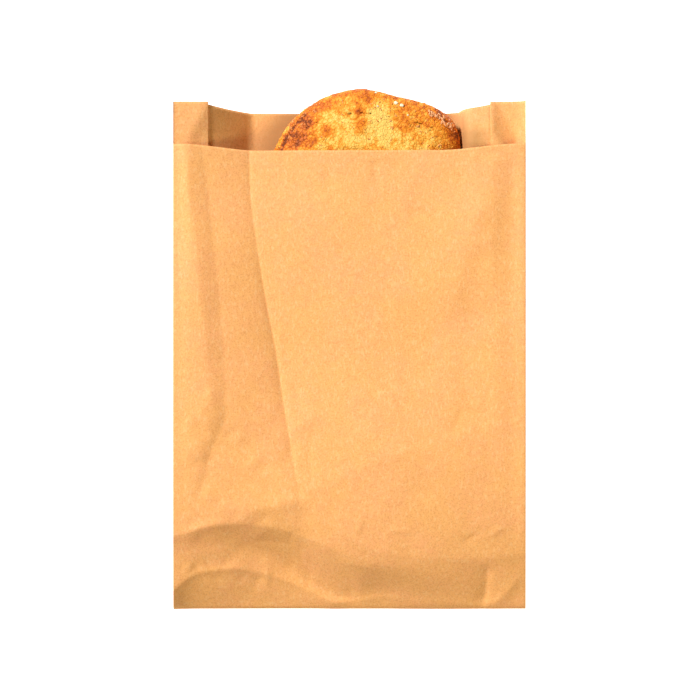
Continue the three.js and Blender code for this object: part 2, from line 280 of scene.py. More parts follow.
# First these folds, then those of the foot, the right half, the bow over the loaf's foot, two short creases at the
# lip, the corner on the right of the foot, and the fold beside the right edge.
FOLDS = [
    Fold(SIDE_RIDGE, 2.8, (16, 14), radius=1.6, fade=(0, 0.35)),
    Fold(SIDE_VALLEY, -0.5, (4, 4), radius=0.8, fade=(0.0, 0.25)),
    Fold(SIDE_VALLEY[4:], -0.5, (7, 7), radius=1.6, fade=(0.3, 0.4)),
    Fold(LONG_VALLEY, -4.2, (22, 60), radius=0.3, fade=(0.0, 0.4)),
    Fold(LONG_VALLEY[2:], -0.9, (6, 20), radius=0.3, fade=(0.35, 0.12)),
    Fold(LONG_VALLEY, -0.3, (1.5, 0.9), radius=0.2, fade=(0.0, 0.03)),
    Fold(LEFT_ARC, 0.45, (1.6, 2.2), radius=0.3, fade=(0.1, 0.1)),
    Fold(MIDDLE_ARC, 0.4, (1.6, 2.2), radius=0.3, fade=(0.1, 0.2)),
    Fold([(-86, 40), (-76, 42), (-51, 50.5), (-25, 57)], 0.45, (6, 3.5), radius=0.6, fade=(0.1, 0.05)),
    Fold([(74.5, 160), (74.5, 107), (73.5, 78)], 0.6, (6, 10), radius=2.5, fade=(0.3, 0.3)),
    Fold([(70, 26), (69.5, 12), (68, 1)], -1.6, (8, 3), radius=0.4, fade=(0.3, 0.0)),
    Fold([(72, 222), (62, 192), (55, 170), (50, 150), (49, 138)], 1.3, (14, 7), radius=3.5, fade=(0.3, 0.3)),
    Fold([(72, 234), (72, 205), (71.5, 175), (72, 150)], 0.8, (8, 5), radius=3, fade=(0.1, 0.3)),
    Fold([(-12, 73), (0, 79), (15, 82), (30, 79), (42, 73)], 0.9, (7, 12), radius=4, fade=(0.4, 0.4)),
    Fold([(-12.4, 228), (-10.9, 217), (-8.3, 204)], -0.4, (1.2, 2.5), radius=0.3, fade=(0.2, 0.4)),
    Fold([(12.3, 232), (13.3, 222), (14.8, 212)], -0.5, (2.5, 2.5), radius=0.8, fade=(0.2, 0.4)),
    Fold([(73.2, 1.7), (80.4, 9.8), (87.1, 18.0)], 0.7, (3, 3), radius=0.5, fade=(0.0, 0.1)),
    Fold([(83.6, 234), (83.9, 130), (84.2, 24)], -0.45, (7, 6), radius=0.8, fade=(0.05, 0.1)),
]

SMALL_CREASE_COUNT = 90


def small_creases(draw):
    """Faint creases in random places: most in the lower left and above the foot, some elsewhere."""
    creases = []
    for _ in range(SMALL_CREASE_COUNT):
        if draw.random() < 0.62:
            x, y = draw.uniform(-84, -18), draw.uniform(14, 110)
        else:
            x, y = draw.uniform(-70, 80), draw.uniform(8, 228)
        turn = draw.uniform(0, math.pi)
        half = draw.uniform(3, 13)
        bow = draw.uniform(-0.25, 0.25) * half
        dx, dy = math.cos(turn), math.sin(turn)
        points = [
            (x - half * dx, y - half * dy),
            (x - bow * dy, y + bow * dx),
            (x + half * dx, y + half * dy),
        ]
        height = draw.choice((-1, 1)) * draw.uniform(0.12, 0.50)
        reach = (draw.uniform(0.8, 3.5), draw.uniform(0.8, 3.5))
        creases.append(Fold(points, height, reach, radius=draw.uniform(0.2, 0.6), fade=(0.35, 0.35)))
    return creases


SMALL_CREASES = small_creases(random.Random(7))


@np.vectorize
def ripple(x, y):
    """Slow unevenness of the whole panel."""
    slow = noise.noise(Vector((x / 26 + 3, y / 34, 0.5)))
    middling = noise.noise(Vector((x / 10, y / 12 + 9, 2.5)))
    quick = noise.noise(Vector((x / 4.2, y / 4.8, 7.5)))
    return 0.55 * slow + 0.16 * middling + 0.035 * quick


def front_height(x, y):
    """The front panel rises from both side edges to a plateau over the loaf, with its creases on top."""
    axis = loaf_axis(y)
    side = np.where(x < axis, -1, 1)
    edge = edge_x(side, y)
    reach = np.where(x < axis, edge + axis, edge - axis) - PLATEAU
    climb = np.clip(np.where(x < axis, edge + x, edge - x) / reach, 0, 1)
    across = mix(climb, np.sin(climb * math.pi / 2), ROUNDING)
    low = back_middle(y) + FOOT_STACK
    edge_top = side_top(side, y)
    top = slow_rise(y, PANEL_LOW, PANEL_TOP, PANEL_REACH) - LIP_DROP * smooth(y, *LIP_DROP_OVER)
    full = edge_top + (top - edge_top) * across
    folds = sum(fold.rise(x, y) for fold in FOLDS + SMALL_CREASES) + ripple(x, y)
    clear_of_edges = smooth(edge - np.abs(x), 0, CREASES_FROM_SIDE) * smooth(y, 0, CREASES_FROM_BOTTOM)
    return low + (full - low) * foot_rise(x, y) + folds * clear_of_edges


def flat_line(side, y):
    """How far out the back panel lies flat."""
    return FLAT_LEFT if side < 0 else loaf_axis(y) + LOAF_WIDTH / 2 - FLAT_INSET


def stack_height(y):
    return FOOT_STACK + STACK_GAPE * smooth(y, STACK_GAPE_FROM, FRONT_LENGTH)


def back_edge(side, y):
    return front_edge(side, y) - stack_height(y)


# The diagonal creases of the two strips at the mouth, from the top down. Inwards of the left one the stack bends
# down into the bag. The right one is a shallow valley, with its reach outwards and inwards.
LEFT_BEND = rounded_line([
    (-71.0, 258), (-74, 252.5), (-77.5, 246), (-80.5, 239), (-82, 230), (-84, 200), (-86, 120),
])
LEFT_BEND_SLOPE = 0.5
LEFT_BEND_MOST = 5.0
LEFT_BEND_RADIUS = 0.6
BENDS_OVER = (20, 120)
RIGHT_BEND = rounded_line([(74.5, 259), (78, 252), (83, 243), (86.0, 236), (88, 220)])
RIGHT_BEND_DEPTH = 4.8
RIGHT_BEND_REACH = (14, 10)
RIGHT_BEND_OVER = (150, 230)
BEND_FROM_SIDE = 3.0


def stack_drop(side, x, y):
    """How far a side stack's layers lie below their outer edge at x: they bend down, and stay under the panel."""
    distance, _ = beside_line(LEFT_BEND if side < 0 else RIGHT_BEND, x, y)
    if side < 0:
        inner = np.hypot(np.maximum(0, distance), LEFT_BEND_RADIUS) - LEFT_BEND_RADIUS
        drop = LEFT_BEND_MOST * (1 - np.exp(-inner * LEFT_BEND_SLOPE / LEFT_BEND_MOST))
    else:
        outer = np.exp(-np.maximum(0, distance) / RIGHT_BEND_REACH[0])
        inner = 1 - np.clip(-distance / RIGHT_BEND_REACH[1], 0, 1) ** 1.5
        drop = RIGHT_BEND_DEPTH * outer * inner * smooth(y, *RIGHT_BEND_OVER)
    inside = smooth(edge_x(side, y) - np.abs(x), 0, BEND_FROM_SIDE)
    panel = front_edge(side, y) - front_height(x, y)
    return np.maximum(drop * inside * smooth(y, *BENDS_OVER), np.where(y < FRONT_LENGTH, panel, 0))


def gusset_x(side, y):
    return edge_x(side, y) - GUSSET


def back_height(side, x, y):
    """The back panel is flat in the middle, climbs on both sides, and ends as the lowest layer of each stack."""
    line = flat_line(side, y)
    fold = gusset_x(side, y)
    climb = np.clip((np.abs(x) - line) / (fold - line), 0, 1)
    if side < 0:
        eased = climb * (1 + CLIMB_EASE * (1 - climb**2))
    else:
        eased = 1 - (1 - climb) ** RIGHT_CLIMB
    inner = stack_drop(side, side * np.maximum(np.abs(x), fold), y)
    return back_middle(y) + (back_edge(side, y) - back_middle(y) - inner) * eased


# --------------------------------------------------------------------------------- paper: the sheet

GUSSET_COLUMNS = 9
ARC_STEPS = 4
BACK_COLUMNS = 14
WING_COLUMNS = 9
STACK_COLUMNS = 4

# Columns between the lines that the front panel's columns follow, and how strongly they crowd towards those lines.
FRONT_COLUMNS = (14, 14, 24, 50, 46, 20)
FRONT_CROWDING = (0.3, 0.3, 0.55, 0.6, 0.2, 0.1)


def front_columns(rows):
    """x of the front panel's columns on each row: they crowd along the folds, so that folds run along edges."""

    def along(points, foot_x):
        """x of a fold on each row, drawn over to foot_x below the fold's lower end."""
        ys = [p[1] for p in reversed(points)]
        xs = [p[0] for p in reversed(points)]
        line = np.interp(rows, ys, xs)
        return mix(foot_x, line, smooth(rows, ys[0] - 40, ys[0] + 12))

    left = FOLD_RADIUS - edge_x(-1, rows)
    right = edge_x(1, rows) - FOLD_RADIUS
    folds = [along(SIDE_RIDGE, -74), along(SIDE_VALLEY, -62), along(LONG_VALLEY, -38)]
    lines = [left, *folds, 12 + 0 * rows, 69 + 0 * rows, right]
    columns = []
    for low, high, count, crowd in zip(lines, lines[1:], FRONT_COLUMNS, FRONT_CROWDING):
        for step in range(count):
            t = step / count
            columns.append(mix(low, high, t - crowd * math.sin(2 * math.pi * t) / (2 * math.pi)))
    columns.append(lines[-1])
    return np.array(columns)


def row_places():
    """The sheet's rows: the flap under the bag, the bottom fold's turn, the body up to the lip, and the strips."""
    foot_end, lip_start = 46, 222
    flap = [("flap", y) for y in (BOTTOM_FLAP, 9.0, 4.5)]
    turn = [("turn", math.pi * (1 - step / 6)) for step in range(6)]
    foot = [("body", mix(FOOT_STACK, foot_end, step / 50)) for step in range(50)]
    body = [("body", mix(foot_end, lip_start, step / 84)) for step in range(84)]
    lip = [("body", mix(lip_start, FRONT_LENGTH, step / 12)) for step in range(13)]
    mouth = [("mouth", mix(FRONT_LENGTH, STRIP_LENGTH, step / 14)) for step in range(1, 15)]
    return flap + turn + foot + body + lip + mouth


def lip_length(x):
    return FRONT_LENGTH - FRONT_DIP * smooth(HALF_WIDTH - np.abs(x), 4, 45)


def back_length(x):
    out = np.maximum(0, (np.abs(x) - BACK_DIP_FROM) / (HALF_WIDTH - GUSSET - BACK_DIP_FROM))
    return np.minimum(STRIP_LENGTH, BACK_LENGTH + BACK_CORNER_RISE * out**2)


def arc_point(centre_x, centre_z, angle, side):
    return side * (centre_x + FOLD_RADIUS * math.cos(angle)), centre_z + FOLD_RADIUS * math.sin(angle)


def gusset_sections(side, y):
    """(x, z) of a gusset's columns on rows y, from the front panel's edge in to its fold and out to the back."""
    out = edge_x(side, y) - FOLD_RADIUS
    fold = gusset_x(side, y) + FOLD_RADIUS
    upper = front_edge(side, y) - 2 * FOLD_RADIUS
    lower = back_edge(side, y) + 2 * FOLD_RADIUS
    fold_drop = stack_drop(side, side * fold, y)
    turn = upper - fold_drop - FOLD_RADIUS
    up = math.pi / 2
    columns = []
    for step in range(1, ARC_STEPS + 1):
        columns.append(arc_point(out, upper + FOLD_RADIUS, up - math.pi * step / ARC_STEPS, side))
    for step in range(1, GUSSET_COLUMNS):
        x = mix(out, fold, step / GUSSET_COLUMNS)
        columns.append((side * x, upper - stack_drop(side, side * x, y)))
    for step in range(ARC_STEPS + 1):
        columns.append(arc_point(fold, turn, up + math.pi * step / ARC_STEPS, side))
    for step in range(1, GUSSET_COLUMNS):
        share = step / GUSSET_COLUMNS
        x = mix(fold, out, share)
        level = mix(upper - 2 * FOLD_RADIUS, lower, smooth(share, 0, 0.7))
        columns.append((side * x, np.maximum(level, lower) - stack_drop(side, side * x, y)))
    for step in range(ARC_STEPS):
        columns.append(arc_point(out, lower - FOLD_RADIUS, up - math.pi * step / ARC_STEPS, side))
    return columns


def sheet_columns(y):
    """(x, z, kind) of all columns on rows y, from the seam lap's inner edge on the back round to its outer edge."""
    gap = PAPER * 1.25
    lap = SEAM_LAP / 2
    columns = []

    def back(side, x, lift=0.0):
        x = x + 0 * y
        columns.append((x, back_height(side, x, y) + lift, "back"))

    for step in range(6):
        back(1, mix(lap, -lap, step / 5), gap)
    for step in range(1, BACK_COLUMNS):
        back(-1, mix(-lap, -FLAT_LEFT, step / BACK_COLUMNS))
    for step in range(WING_COLUMNS):
        back(-1, -mix(FLAT_LEFT, gusset_x(-1, y), step / WING_COLUMNS))
    for step in range(STACK_COLUMNS + 1):
        back(-1, -mix(gusset_x(-1, y), edge_x(-1, y) - FOLD_RADIUS, step / STACK_COLUMNS))
    columns += [(x, z, "side") for x, z in reversed(gusset_sections(-1, y))]
    front = front_columns(y)
    levels = front_height(front, y + 0 * front)
    columns += [(x, z, "front") for x, z in zip(front, levels)]
    columns += [(x, z, "side") for x, z in gusset_sections(1, y)]
    for step in range(STACK_COLUMNS):
        back(1, mix(edge_x(1, y) - FOLD_RADIUS, gusset_x(1, y), step / STACK_COLUMNS))
    for step in range(WING_COLUMNS):
        back(1, mix(gusset_x(1, y), flat_line(1, y), step / WING_COLUMNS))
    for step in range(BACK_COLUMNS):
        back(1, mix(flat_line(1, y), -lap, step / BACK_COLUMNS))
    back(-1, -lap)
    return columns


# The share of the darker colour that the whole inside has, and the distances from the loaf at which the painted
# shade beside it starts and is at its darkest.
LINING_TONE = 0.06
PAINTED_SHADE_REACH = (20, 2)


def inside_tone_and_painted_shade(x, y):
    """The bag's inside is a little darker than its outside, and painted shade darkens it more beside the loaf."""
    towards_tip = max(0.0, (y - (LOAF_TIP - LOAF_END)) / LOAF_END)
    loaf_reach = LOAF_WIDTH / 2 * math.sqrt(max(0.0, 1 - towards_tip**2.4))
    away = abs(x - float(loaf_axis(y))) - loaf_reach
    return LINING_TONE + (1 - LINING_TONE) * float(smooth(away, *PAINTED_SHADE_REACH))


def paper_sheet():
    """The bag's paper as one sheet: a grid whose columns run round the section and whose rows run up the bag."""
    rows = row_places()
    y = np.array([place if kind in ("body", "mouth") else FOOT_STACK for kind, place in rows])
    columns = sheet_columns(y)
    lip_row = max(i for i, (kind, _) in enumerate(rows) if kind == "body")

    bm = bmesh.new()
    bmesh.ops.create_grid(bm, x_segments=len(columns) - 1, y_segments=len(rows) - 1, size=1)
    # The bottom fold turns round an axis, and each layer of the flap lies as far below it as its place in the stack.
    axis_z = back_middle(0.0) - 0.1
    highest = max(float(zs[0]) for _, zs, _ in columns) - axis_z
    lowest = axis_z - PAPER / 2 - 0.03
    above_lip = set()
    inside = bm.verts.layers.float.new("inside")
    for vert in bm.verts:
        c = round((vert.co.x + 1) / 2 * (len(columns) - 1))
        r = round((vert.co.y + 1) / 2 * (len(rows) - 1))
        xs, zs, kind = columns[c]
        x, z, height = float(xs[r]), float(zs[r]), float(y[r])
        row_kind, place = rows[r]
        if row_kind == "body":
            if kind == "front":
                height += (float(lip_length(x)) - FRONT_LENGTH) * float(smooth(height, LIP_BOW_FROM, FRONT_LENGTH))
        elif row_kind == "mouth":
            cut = float(back_length(x)) if kind == "back" else STRIP_LENGTH
            height = mix(FRONT_LENGTH, cut, (height - FRONT_LENGTH) / (STRIP_LENGTH - FRONT_LENGTH))
        else:
            reach = max(0.05, z - axis_z)
            folded = reach / highest * lowest
            if row_kind == "turn":
                size = mix(reach, folded, place / math.pi)
                height = FOOT_STACK - FOOT_STACK * reach / highest * math.sin(place)
                z = axis_z + size * math.cos(place)
            else:
                height = place
                z = axis_z - folded
        vert.co = (x, height, z)
        # The inside layer holds the lining's darker tone and the painted shade beside the loaf.
        vert[inside] = inside_tone_and_painted_shade(x, height) if kind == "back" else 0.0
        if kind == "front" and r > lip_row:
            above_lip.add(vert)
    gone = [face for face in bm.faces if not above_lip.isdisjoint(face.verts)]
    bmesh.ops.delete(bm, geom=gone, context="FACES")
    bmesh.ops.recalc_face_normals(bm, faces=bm.faces)
    top = max(bm.faces, key=lambda face: face.calc_center_median().z)
    if top.normal.z < 0:
        bmesh.ops.reverse_faces(bm, faces=bm.faces)
    return bm


# ---------------------------------------------------------------------------------------- finishing


def finish_piece(name, bm, material, node):
    """Turns a bmesh in millimetres into a piece of the frame, in metres and with its place in its mesh."""
    bmesh.ops.translate(bm, vec=(0, -MIDDLE, 0), verts=bm.verts)
    bmesh.ops.scale(bm, vec=(MM, MM, MM), verts=bm.verts)
    for face in bm.faces:
        face.smooth = True
    mesh = bpy.data.meshes.new(name)
    bm.to_mesh(mesh)
    bm.free()
    mesh.materials.append(material)
    piece = bpy.data.objects.new(name, mesh)
    bpy.context.scene.collection.objects.link(piece)
    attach(piece, "root")
    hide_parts(node)
    return piece


# --------------------------------------------------------------------------------------------- loaf

LOAF_FACETS = (216, 150, 26)
LOAF_CROWDING = 2.2
SQUARE_SHOULDER = 6.0
ROUND_SHOULDER = 2.1
TOP_ROUNDING = 2.4
UNDER_ROUNDING = 3.6

# Places on the crust, as x, y, radius and strength: browned more, and left paler, than the crust round them.
BROWNED = [
    (-24.5, 239.7, 3.6, 0.34), (-20.2, 247.2, 2.2, 0.50), (4.2, 252.8, 2.3, 0.75), (5.6, 245.2, 3.2, 0.45),
    (-11.4, 243.4, 2.6, 0.35), (23.9, 251.2, 3.4, 0.38), (-32.0, 238.0, 4.0, 0.10), (46.5, 249.5, 4.5, 0.50),
    (33.0, 255.0, 3.0, 0.22), (53.0, 240.0, 3.0, 0.40), (39.0, 245.7, 1.5, 0.40), (35.5, 236.5, 2.0, 0.40),
    (8.0, 262.5, 5.0, 0.22), (-14.0, 239.0, 3.0, 0.20), (7.0, 240.5, 3.0, 0.18), (28.0, 245.5, 4.0, 0.22),
]
PALE = [
    (-7.4, 249.5, 4.2, 0.30), (14.0, 250.5, 5.5, 0.52), (17.3, 243.5, 5.5, 0.36), (1.5, 238.5, 5.5, 0.22),
    (24.0, 240.5, 4.5, 0.16), (-13.0, 237.0, 3.0, 0.14), (-2.0, 256.5, 3.5, 0.10),
]
SMOOTH_GLAZE = (44.8, 241.5, 4.5)
CREAM_GRAINS = [(23.4, 256.9, 1.9), (26.4, 255.7, 1.8), (13.4, 262.4, 1.1), (14.2, 255.2, 1.0), (29.4, 250.6, 0.9)]


def near(place, x, y):
    """1 at a place and 0 well outside its radius."""
    return math.exp(-((x - place[0]) ** 2 + (y - place[1]) ** 2) / place[2] ** 2)


def crust_noise(x, y, z, size, seed=0):
    return noise.noise(Vector((x / size + seed, y / size, z / size)))


def crust_state(x, y, z, plan, above):
    """How browned the crust is at a place, with painted shade in its pits, how rough, and how far it stands out
    from the loaf's smooth shape.
    """
    across = (x - float(loaf_axis(y))) / (LOAF_WIDTH / 2)
    rim = max(0.0, plan - 0.62) / 0.38
    wavy = crust_noise(x, y, z, 9.0) * 0.16 + crust_noise(x, y, z, 3.6, 7) * 0.14
    browned_and_pit_shade = 0.22 + 0.38 * rim**1.6 + wavy
    browned_and_pit_shade += sum(place[3] * near(place, x, y) for place in BROWNED)
    browned_and_pit_shade -= sum(place[3] * near(place, x, y) for place in PALE)
    browned_and_pit_shade += 0.22 * smooth(-across, 0.2, 0.7)
    left = smooth(-across, 0.35, 0.9) * smooth(rim, 0.05, 0.6)
    right = smooth(across, 0.3, 0.8) * smooth(rim, 0.0, 0.5)
    glaze = near(SMOOTH_GLAZE, x, y)
    rough = min(1.0, 0.35 + 0.9 * left + 0.9 * right) * (1 - 0.85 * glaze)

    # Blisters all over, and torn, flaky crust towards the rims.
    blister = crust_noise(x, y, z, 2.6, 3)
    bump = 0.34 * crust_noise(x, y, z, 6.5, 5) + 0.26 * blister
    cell, _ = noise.voronoi(Vector((x / 2.1 + 0.35 * blister, y / 1.7, z / 2.0)))
    torn = 0.55 * (cell[1] - cell[0]) - 0.22
    streak = crust_noise((x + y) / 2.4, (y - x) * 1.6, z, 2.2, 11)
    relief = bump * (1 - 0.4 * glaze) + rough * (torn + 0.3 * streak * left)
    # Painted shade: the deeper a pit of the relief, the darker the crust's colour there.
    painted_pit_shade = max(0.0, -relief - 0.08)
    browned_and_pit_shade += 0.8 * painted_pit_shade + 0.3 * rough * streak
    browned_and_pit_shade = mix(browned_and_pit_shade, 0.5, 0.75 * glaze)

    # The left rim is a pale skirt below a dark groove.
    skirt = left * smooth(plan, 0.955, 0.975) * (1 if above < 0.62 else 0)
    groove = left * math.exp(-(((plan - 0.952) / 0.010) ** 2))
    relief += 0.9 * skirt - 0.55 * groove
    browned_and_pit_shade = mix(browned_and_pit_shade, 0.38, 0.8 * skirt) + 0.75 * groove
    return float(browned_and_pit_shade), float(rough), float(relief * smooth(above, -0.9, -0.3))


def loaf_body():
    """A box cut into a fine grid and swept out to a rounded loaf, its rows crowded towards the end that shows."""
    bm = bmesh.new()
    bmesh.ops.create_cube(bm, size=2)
    for axis, count in enumerate(LOAF_FACETS):
        edges = [e for e in bm.edges if abs(e.verts[0].co[axis] - e.verts[1].co[axis]) > 1.5]
        bmesh.ops.subdivide_edges(bm, edges=edges, cuts=count - 1, use_grid_fill=True)
    half = (LOAF_WIDTH / 2, (LOAF_TIP - LOAF_FOOT) / 2, LOAF_HEIGHT / 2)
    core = half[1] - LOAF_END
    belly = LOAF_HEIGHT * LOAF_BELLY
    places = {}
    for vert in bm.verts:
        from_tip = min(1, max(0, (1 - vert.co.y) / 2))
        along = half[1] * (1 - 2 * from_tip**LOAF_CROWDING)
        spine = max(-core, min(core, along))
        dx, dy, dz = vert.co.x, (along - spine) / LOAF_END, vert.co.z
        square = SQUARE_SHOULDER if dx > 0 and dy > 0 else ROUND_SHOULDER
        plan = (abs(dx) ** square + abs(dy) ** square) ** (1 / square)
        rounding = TOP_ROUNDING if dz > 0 else UNDER_ROUNDING
        size = (plan**rounding + abs(dz) ** rounding) ** (1 / rounding)
        x = dx / size * (RIGHT_HALF if dx > 0 else half[0])
        end = max(0, dy / size)
        y = (LOAF_TIP + LOAF_FOOT) / 2 + spine + dy / size * LOAF_END - SHOULDER_DROP * max(0, x) * end
        above = dz / size
        z = belly + dz / size * (LOAF_HEIGHT - belly if dz > 0 else belly)
        broad = math.sin(x / 9 + 1.3) * math.sin(y / 13 + 0.4)
        narrow = math.sin(x / 5.1 + y / 8.3) * math.sin(y / 6.1 - x / 11)
        z += max(0, above) * 0.7 * (0.6 * broad + 0.4 * narrow - 1)
        vert.co = (x + float(loaf_axis(y)), y, LOAF_FLOOR + z)
        places[vert.index] = (plan / size, above)
    bmesh.ops.recalc_face_normals(bm, faces=bm.faces)
    bm.normal_update()
    layers = {name: bm.verts.layers.float.new(name) for name in ("browned_and_pit_shade", "rough")}
    outward = {vert.index: vert.normal.copy() for vert in bm.verts}
    for vert in bm.verts:
        browned_and_pit_shade, rough, relief = crust_state(*vert.co, *places[vert.index])
        vert[layers["browned_and_pit_shade"]] = browned_and_pit_shade
        vert[layers["rough"]] = rough
        vert.co += outward[vert.index] * relief

    # The front panel lies on the crust, which may rise again past its lip.
    covered = [vert for vert in bm.verts if vert.co.y < FRONT_LENGTH + PAST_LIP and places[vert.index][1] > 0]
    x, y, _ = np.array([vert.co for vert in covered]).T
    panel = front_height(x, np.minimum(y, FRONT_LENGTH)) - CRUST_CLEARED
    level = panel + np.maximum(0, y - lip_length(x)) * RISE_PAST_LIP
    for vert, most in zip(covered, level):
        vert.co.z = min(vert.co.z, float(most))
    bm.normal_update()
    return bm


def set_on_crust(bm, crust, x, y, size, turn, tilt, sink):
    """Lays a bmesh's newest shape, made at the origin, on the crust at x, y."""
    place, normal, _, _ = crust.ray_cast(Vector((x, y, 100)), Vector((0, 0, -1)))
    if place is None:
        return False
    lean = Vector((math.cos(turn), math.sin(turn), 0)) * tilt
    spin = Matrix.Rotation(turn, 4, "Z")
    upright = (normal + lean).normalized().to_track_quat("Z", "Y").to_matrix().to_4x4()
    matrix = Matrix.Translation(place - normal * sink) @ upright @ spin @ Matrix.Diagonal((*size, 1))
    bmesh.ops.transform(bm, matrix=matrix, verts=bm.verts)
    return True


def joined(parts):
    """All parts in one bmesh."""
    whole = bmesh.new()
    for part in parts:
        mesh = bpy.data.meshes.new("part")
        part.to_mesh(mesh)
        part.free()
        whole.from_mesh(mesh)
        bpy.data.meshes.remove(mesh)
    return whole


FLAKE_COUNT = 170


def crust_flakes(crust, draw):
    """Thin curled flakes of crust: large pale ones on the right shoulder, smaller ones on the left and elsewhere."""
    flakes = []
    while len(flakes) < FLAKE_COUNT:
        zone = draw.random()
        large = zone < 0.2
        if large:
            along = draw.uniform(-1, 1)
            x, y = 46.5 + 6.5 * along, 249.0 - 3.6 * along + draw.gauss(0, 1.2)
            turn = draw.gauss(-0.9, 0.4)
        elif zone < 0.45:
            x = draw.uniform(-38, -14)
            y = 246 + (x + 26) * 0.95 + draw.gauss(0, 2.5)
            turn = draw.gauss(0.8, 0.3)
        else:
            x, y = draw.uniform(-30, 55), draw.uniform(226, 263)
            turn = draw.uniform(0, math.pi)
        if large:
            size = (draw.uniform(0.9, 1.6), draw.uniform(0.4, 0.7), draw.uniform(0.10, 0.18))
        else:
            size = (draw.uniform(0.5, 1.1), draw.uniform(0.25, 0.55), draw.uniform(0.05, 0.10))
        flake = bmesh.new()
        bmesh.ops.create_icosphere(flake, subdivisions=1, radius=1)
        pale = flake.verts.layers.float.new("pale")
        paleness = draw.uniform(0.5, 1.0) if large else draw.uniform(0.0, 0.45)
        for vert in flake.verts:
            ragged = 1 + draw.uniform(-0.3, 0.3)
            vert[pale] = paleness
            vert.co = (vert.co.x * ragged, vert.co.y * ragged, vert.co.z + 1.2 * vert.co.x**2)
        if set_on_crust(flake, crust, x, y, size, turn, draw.uniform(0, 0.2), 0.04):
            flakes.append(flake)
        else:
            flake.free()
    return joined(flakes)


def cream_grains(crust, draw):
    """Blunt cream grains, baked onto the crust."""
    grains = []
    for x, y, width in CREAM_GRAINS:
        grain = bmesh.new()
        bmesh.ops.create_cube(grain, size=1)
        bmesh.ops.bevel(
            grain, geom=grain.edges[:], offset=0.24, segments=2, profile=0.5, affect="EDGES", material=-1
        )
        for vert in grain.verts:
            vert.co *= 1 + draw.uniform(-0.05, 0.05)
        size = (width, width * draw.uniform(0.8, 1.0), width * 0.55)
        set_on_crust(grain, crust, x, y, size, draw.uniform(-0.3, 0.3), 0.05, -0.1)
        grains.append(grain)
    return joined(grains)


# ---------------------------------------------------------------------------------------- materials


class Field:
    """A number or a vector that changes over a surface. Sums on it add Math or Vector Math nodes."""

    def __init__(self, finish, socket):
        self.finish = finish
        self.socket = socket

    def math(self, operation, other):
        if self.socket.type != "VECTOR":
            return self.finish.node("ShaderNodeMath", {"operation": operation}, (self, other))
        if not isinstance(other, Field):
            other = (other, other, other)
        return self.finish.node("ShaderNodeVectorMath", {"operation": operation}, (self, other))

    def __add__(self, other):
        return self.math("ADD", other)

    def __sub__(self, other):
        return self.math("SUBTRACT", other)

    def __rsub__(self, other):
        return self.finish.node("ShaderNodeMath", {"operation": "SUBTRACT"}, (other, self))

    def __mul__(self, other):
        return self.math("MULTIPLY", other)

    __radd__ = __add__
    __rmul__ = __mul__

    def ramp(self, low, high):
        """0 below low, 1 above high, eased between."""
        inputs = {"Value": self, "From Min": low, "From Max": high}
        return self.finish.node("ShaderNodeMapRange", {"interpolation_type": "SMOOTHSTEP"}, inputs)


class Finish:
    """A material and its nodes."""

    def __init__(self, name):
        self.material = bpy.data.materials.new(name)
        self.material.use_nodes = True
        self.tree = self.material.node_tree
        self.shader = self.tree.nodes["Principled BSDF"]

    def node(self, kind, settings=None, inputs=(), output=0):
        made = self.tree.nodes.new(kind)
        for name, value in (settings or {}).items():
            setattr(made, name, value)
        pairs = inputs.items() if isinstance(inputs, dict) else enumerate(inputs)
        for key, value in pairs:
            self.feed(made.inputs[key], value)
        return Field(self, made.outputs[output])

    def feed(self, socket, value):
        if isinstance(value, Field):
            self.tree.links.new(value.socket, socket)
        elif isinstance(value, tuple) and len(value) == 3 and socket.type == "RGBA":
            socket.default_value = (*value, 1)
        else:
            socket.default_value = value

    def object_place(self, scale=(1, 1, 1)):
        place = self.node("ShaderNodeTexCoord", output="Object")
        if scale == (1, 1, 1):
            return place
        return self.node("ShaderNodeMapping", {}, {"Vector": place, "Scale": scale})

    def noise(self, scale, detail=2.0, roughness=0.5, stretch=(1, 1, 1), distortion=0.0):
        inputs = {"Vector": self.object_place(stretch), "Scale": scale, "Detail": detail, "Roughness": roughness}
        inputs["Distortion"] = distortion
        return self.node("ShaderNodeTexNoise", {}, inputs)

    def noise_color(self, scale, detail, roughness):
        """Three noises as a vector about zero, to bend a pattern's coordinates with."""
        inputs = {"Vector": self.object_place(), "Scale": scale, "Detail": detail, "Roughness": roughness}
        noises = self.node("ShaderNodeTexNoise", {}, inputs, output="Color")
        return self.node("ShaderNodeVectorMath", {"operation": "SUBTRACT"}, (noises, (0.5, 0.5, 0.5)))

    def blend(self, share, first, second):
        """One colour turning into another as share goes from 0 to 1: a Mix node's inputs 6 and 7 and output 2."""
        return self.node("ShaderNodeMix", {"data_type": "RGBA"}, {0: share, 6: first, 7: second}, output=2)

    def attribute(self, name):
        return self.node("ShaderNodeAttribute", {"attribute_name": name}, output="Fac")

    def bump(self, height, distance, strength):
        return self.node("ShaderNodeBump", {}, {"Height": height, "Distance": distance, "Strength": strength})

    def shade(self, color, roughness, specular, normal=None):
        self.feed(self.shader.inputs["Base Color"], color)
        self.feed(self.shader.inputs["Roughness"], roughness)
        self.feed(self.shader.inputs["Specular IOR Level"], specular)
        if normal is not None:
            self.feed(self.shader.inputs["Normal"], normal)
        return self.material


